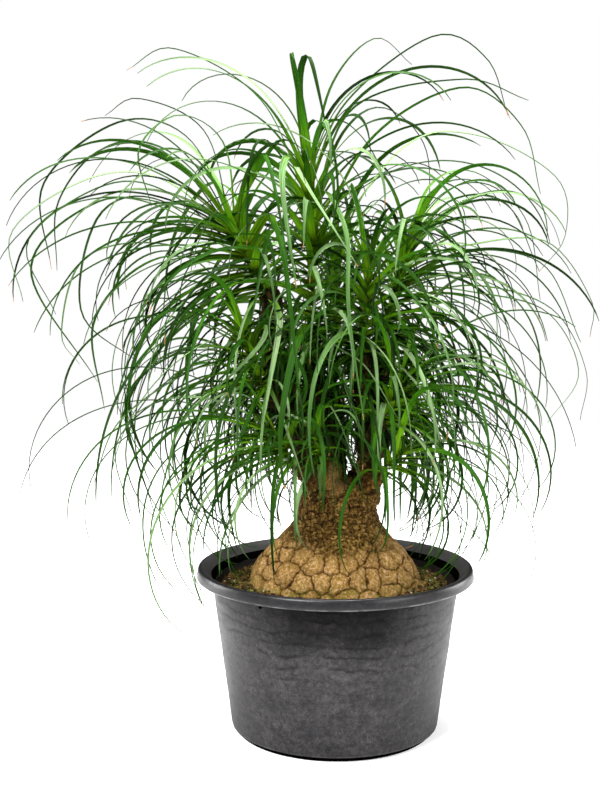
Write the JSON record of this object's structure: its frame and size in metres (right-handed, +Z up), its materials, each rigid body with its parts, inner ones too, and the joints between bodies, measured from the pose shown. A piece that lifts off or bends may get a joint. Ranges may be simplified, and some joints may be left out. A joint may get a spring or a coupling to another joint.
{
  "type": "potted ponytail palm",
  "caption": "Potted plant with a swollen, cracked bark foot that divides into short stems, each topped by a mop of long arching strap leaves, in a round nursery pot",
  "frame": {"origin": "middle of the pot's underside, on the pot's axis", "axes": "+Z up along the pot's axis, -Y towards the front of the plant, +X to its right as seen from the front"},
  "size_m": [0.7008, 0.45, 0.8396],
  "materials": {
    "pot_plastic": "satin dark grey moulded plastic, faintly rippled and dusty",
    "potting_mix": "loose peat and bark",
    "bark": "corky plates divided by dark cracks",
    "leaf": "satin strap leaves with fine lengthwise veins"
  },
  "bodies": {
    "root": {"pot": "pot_plastic", "soil": "potting_mix", "trunk": "bark", "crown_top_left": "leaf", "crown_top_centre": "leaf", "crown_right_inner": "leaf", "crown_right_outer": "leaf", "crown_left_middle": "leaf", "crown_left_low": "leaf", "crown_front_low": "leaf", "crown_right_middle": "leaf", "crown_right_low": "leaf", "crown_back_top": "leaf", "crown_back_left": "leaf", "crown_back_right": "leaf"}
  },
  "joints": []
}
